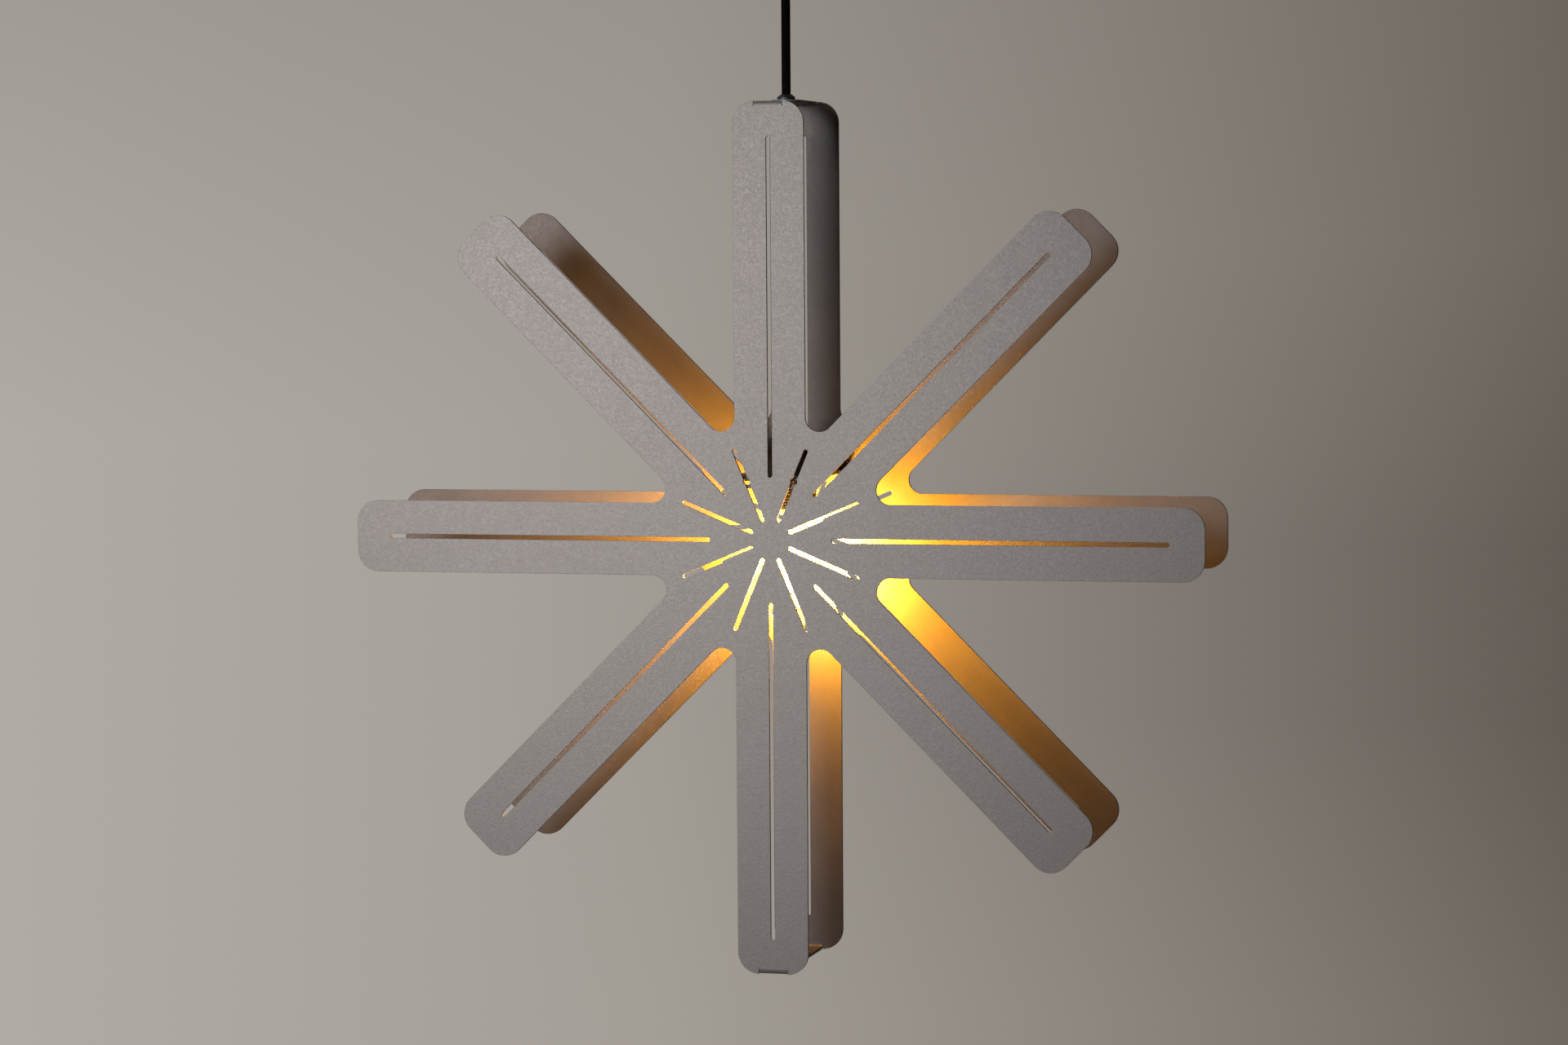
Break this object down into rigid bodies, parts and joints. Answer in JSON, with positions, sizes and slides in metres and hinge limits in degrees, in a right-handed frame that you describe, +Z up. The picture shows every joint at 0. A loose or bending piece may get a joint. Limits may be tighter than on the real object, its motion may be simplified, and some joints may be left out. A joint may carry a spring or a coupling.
{
  "type": "advent star pendant lamp",
  "caption": "Hanging star lamp of two slotted sheet stars joined at the top and bottom, with a bulb in a holder between them, a black cord and a ceiling cup.",
  "frame": {"origin": "on the cord's axis in the ceiling plane, midway between the ceiling bracket's screw holes", "axes": "+Z up out of the ceiling face, the front star faces -Y, +X to the right seen from the front"},
  "size_m": [0.6, 0.1, 0.7555],
  "materials": {
    "star_sheet": "matte grey with a fine speckle, no shine",
    "black_plastic": "smooth black, low sheen",
    "cord_sheath": "smooth black sheath, soft sheen",
    "core_sheath": "brown and blue core insulation",
    "zinc_steel": "zinc-plated, satin",
    "brass": "bare, satin",
    "insert_ceramic": "unglazed white",
    "white_plastic": "smooth white",
    "bulb_nickel": "bright rolled thread",
    "black_glass": "glossy black",
    "clear_glass": "clear, smooth",
    "filament": "lit, warm yellow",
    "lead_wire": "drawn wire"
  },
  "bodies": {
    "ceiling_fixing": {"ceiling_bracket": "zinc_steel", "terminal_block": "white_plastic", "terminal_sleeves": "brass", "terminal_screws": "zinc_steel", "block_screw": "zinc_steel", "cord_clamp": "black_plastic", "cord_clamp_screws": "zinc_steel", "mains_cores": "core_sheath", "cord": "cord_sheath"},
    "ceiling_cup": {"ceiling_cup": "black_plastic", "cup_grip": "black_plastic", "cup_nut": "black_plastic", "cup_grip_screw": "black_plastic"},
    "hanging_cord": {"lower_cord": "cord_sheath"},
    "star": {"front_star": "star_sheet", "back_star": "star_sheet", "holder_bracket": "star_sheet", "cord_bushing": "black_plastic", "bushing_nut": "black_plastic", "bottom_screw": "zinc_steel", "bottom_nut": "zinc_steel", "holder_cap": "black_plastic", "holder_skirt": "black_plastic", "shade_ring": "zinc_steel", "holder_insert": "insert_ceramic", "screw_shell": "brass", "centre_contact": "brass", "holder_terminals": "brass", "cord_lock_screw": "black_plastic", "holder_cores": "core_sheath"},
    "bulb": {"bulb_cap": "bulb_nickel", "bulb_insulator": "black_glass", "bulb_contact": "brass", "bulb_glass": "clear_glass", "bulb_stem": "clear_glass", "bulb_filaments": "filament", "bulb_leads": "lead_wire"}
  },
  "joints": [
    {"name": "star_swing", "type": "hinge", "parent": "ceiling_fixing", "child": "hanging_cord", "pos_m": [0, 0, -0.1447], "axis": [1, 0, 0], "range_deg": [-15, 15]},
    {"name": "star_twist", "type": "hinge", "parent": "hanging_cord", "child": "star", "pos_m": [0, 0, -0.1447], "axis": [0, 0, 1], "range_deg": [-180, 180]},
    {"name": "bulb_turn", "type": "hinge", "parent": "star", "child": "bulb", "pos_m": [0, 0, -0.4529], "axis": [0, 0, 1], "continuous": true},
    {"name": "cup_slide", "type": "slide", "parent": "ceiling_fixing", "child": "ceiling_cup", "axis": [0, 0, -1], "range_m": [0, 0.07]}
  ]
}
